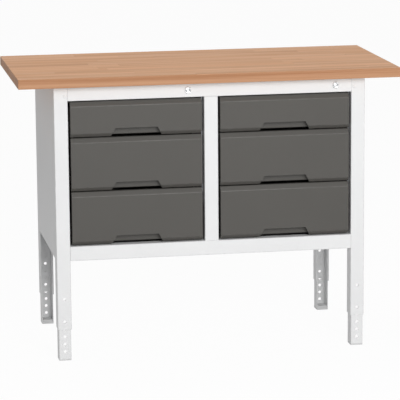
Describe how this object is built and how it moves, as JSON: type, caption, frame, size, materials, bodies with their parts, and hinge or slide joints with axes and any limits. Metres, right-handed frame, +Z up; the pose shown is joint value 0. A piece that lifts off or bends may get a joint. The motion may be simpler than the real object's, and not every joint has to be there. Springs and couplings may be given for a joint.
{
  "type": "jewelers bench",
  "caption": "Steel-framed bench with an overhanging wooden worktop, lockable drawers side by side with finger cut-outs, and telescoping legs that set the working height.",
  "frame": {"origin": "on the floor, under the middle of the worktop, with the legs fully out", "axes": "+X to the right along the worktop, +Y from the drawer fronts to the back, +Z up"},
  "size_m": [1.25, 0.6, 0.93],
  "materials": {
    "beech": "lacquered staves",
    "light_paint": "fine textured powder coat, light grey",
    "dark_paint": "fine textured powder coat, anthracite",
    "zinc": "zinc plated",
    "chrome": "polished",
    "foot_plastic": "moulded"
  },
  "bodies": {
    "frame": {"worktop": "beech", "post_front_left": "light_paint", "post_front_right": "light_paint", "post_rear_left": "light_paint", "post_rear_right": "light_paint", "clamp_bolt_front_left": "zinc", "clamp_bolt_front_right": "zinc", "clamp_bolt_rear_left": "zinc", "clamp_bolt_rear_right": "zinc", "rail_top": "light_paint", "rail_bottom": "light_paint", "rail_rear": "light_paint", "centre_post": "light_paint", "side_panel_left": "light_paint", "side_panel_right": "light_paint", "liner_left": "light_paint", "liner_right": "light_paint", "base_panel": "light_paint", "partition": "light_paint", "back_panel": "light_paint", "runner_left_bottom_l": "zinc", "runner_left_bottom_r": "zinc", "runner_left_middle_l": "zinc", "runner_left_middle_r": "zinc", "runner_left_top_l": "zinc", "runner_left_top_r": "zinc", "lock_housing_left": "chrome", "runner_right_bottom_l": "zinc", "runner_right_bottom_r": "zinc", "runner_right_middle_l": "zinc", "runner_right_middle_r": "zinc", "runner_right_top_l": "zinc", "runner_right_top_r": "zinc", "lock_housing_right": "chrome"},
    "leg_front_left": {"leg_front_left": "light_paint", "foot_front_left": "foot_plastic"},
    "leg_front_right": {"leg_front_right": "light_paint", "foot_front_right": "foot_plastic"},
    "leg_rear_left": {"leg_rear_left": "light_paint", "foot_rear_left": "foot_plastic"},
    "leg_rear_right": {"leg_rear_right": "light_paint", "foot_rear_right": "foot_plastic"},
    "drawer_left_bottom": {"drawer_front_left_bottom": "dark_paint", "drawer_tray_left_bottom": "dark_paint"},
    "drawer_left_middle": {"drawer_front_left_middle": "dark_paint", "drawer_tray_left_middle": "dark_paint"},
    "drawer_left_top": {"drawer_front_left_top": "dark_paint", "drawer_tray_left_top": "dark_paint"},
    "lock_left": {"lock_barrel_left": "chrome"},
    "locking_bar_left": {"locking_bar_left": "zinc"},
    "drawer_right_bottom": {"drawer_front_right_bottom": "dark_paint", "drawer_tray_right_bottom": "dark_paint"},
    "drawer_right_middle": {"drawer_front_right_middle": "dark_paint", "drawer_tray_right_middle": "dark_paint"},
    "drawer_right_top": {"drawer_front_right_top": "dark_paint", "drawer_tray_right_top": "dark_paint"},
    "lock_right": {"lock_barrel_right": "chrome"},
    "locking_bar_right": {"locking_bar_right": "zinc"}
  },
  "joints": [
    {"name": "leg_front_left_slide", "type": "slide", "parent": "frame", "child": "leg_front_left", "axis": [0, 0, 1], "range_m": [0, 0.1]},
    {"name": "leg_front_right_slide", "type": "slide", "parent": "frame", "child": "leg_front_right", "axis": [0, 0, 1], "range_m": [0, 0.1]},
    {"name": "leg_rear_left_slide", "type": "slide", "parent": "frame", "child": "leg_rear_left", "axis": [0, 0, 1], "range_m": [0, 0.1]},
    {"name": "leg_rear_right_slide", "type": "slide", "parent": "frame", "child": "leg_rear_right", "axis": [0, 0, 1], "range_m": [0, 0.1]},
    {"name": "drawer_left_bottom_slide", "type": "slide", "parent": "frame", "child": "drawer_left_bottom", "axis": [0, -1, 0], "range_m": [0, 0.4]},
    {"name": "drawer_left_middle_slide", "type": "slide", "parent": "frame", "child": "drawer_left_middle", "axis": [0, -1, 0], "range_m": [0, 0.4]},
    {"name": "drawer_left_top_slide", "type": "slide", "parent": "frame", "child": "drawer_left_top", "axis": [0, -1, 0], "range_m": [0, 0.4]},
    {"name": "lock_left_turn", "type": "hinge", "parent": "frame", "child": "lock_left", "pos_m": [-0.0755, -0.268, 0.8765], "axis": [0, 1, 0], "range_deg": [0, 90]},
    {"name": "locking_bar_left_lift", "type": "slide", "parent": "frame", "child": "locking_bar_left", "axis": [0, 0, 1], "range_m": [0, 0.0113]},
    {"name": "drawer_right_bottom_slide", "type": "slide", "parent": "frame", "child": "drawer_right_bottom", "axis": [0, -1, 0], "range_m": [0, 0.4]},
    {"name": "drawer_right_middle_slide", "type": "slide", "parent": "frame", "child": "drawer_right_middle", "axis": [0, -1, 0], "range_m": [0, 0.4]},
    {"name": "drawer_right_top_slide", "type": "slide", "parent": "frame", "child": "drawer_right_top", "axis": [0, -1, 0], "range_m": [0, 0.4]},
    {"name": "lock_right_turn", "type": "hinge", "parent": "frame", "child": "lock_right", "pos_m": [0.412, -0.268, 0.8765], "axis": [0, 1, 0], "range_deg": [0, 90]},
    {"name": "locking_bar_right_lift", "type": "slide", "parent": "frame", "child": "locking_bar_right", "axis": [0, 0, 1], "range_m": [0, 0.0113]}
  ],
  "couplings": [
    {"joint": "lock_left_turn", "follows": "locking_bar_left_lift", "rad_per_m": 138.84},
    {"joint": "lock_right_turn", "follows": "locking_bar_right_lift", "rad_per_m": 138.84}
  ]
}
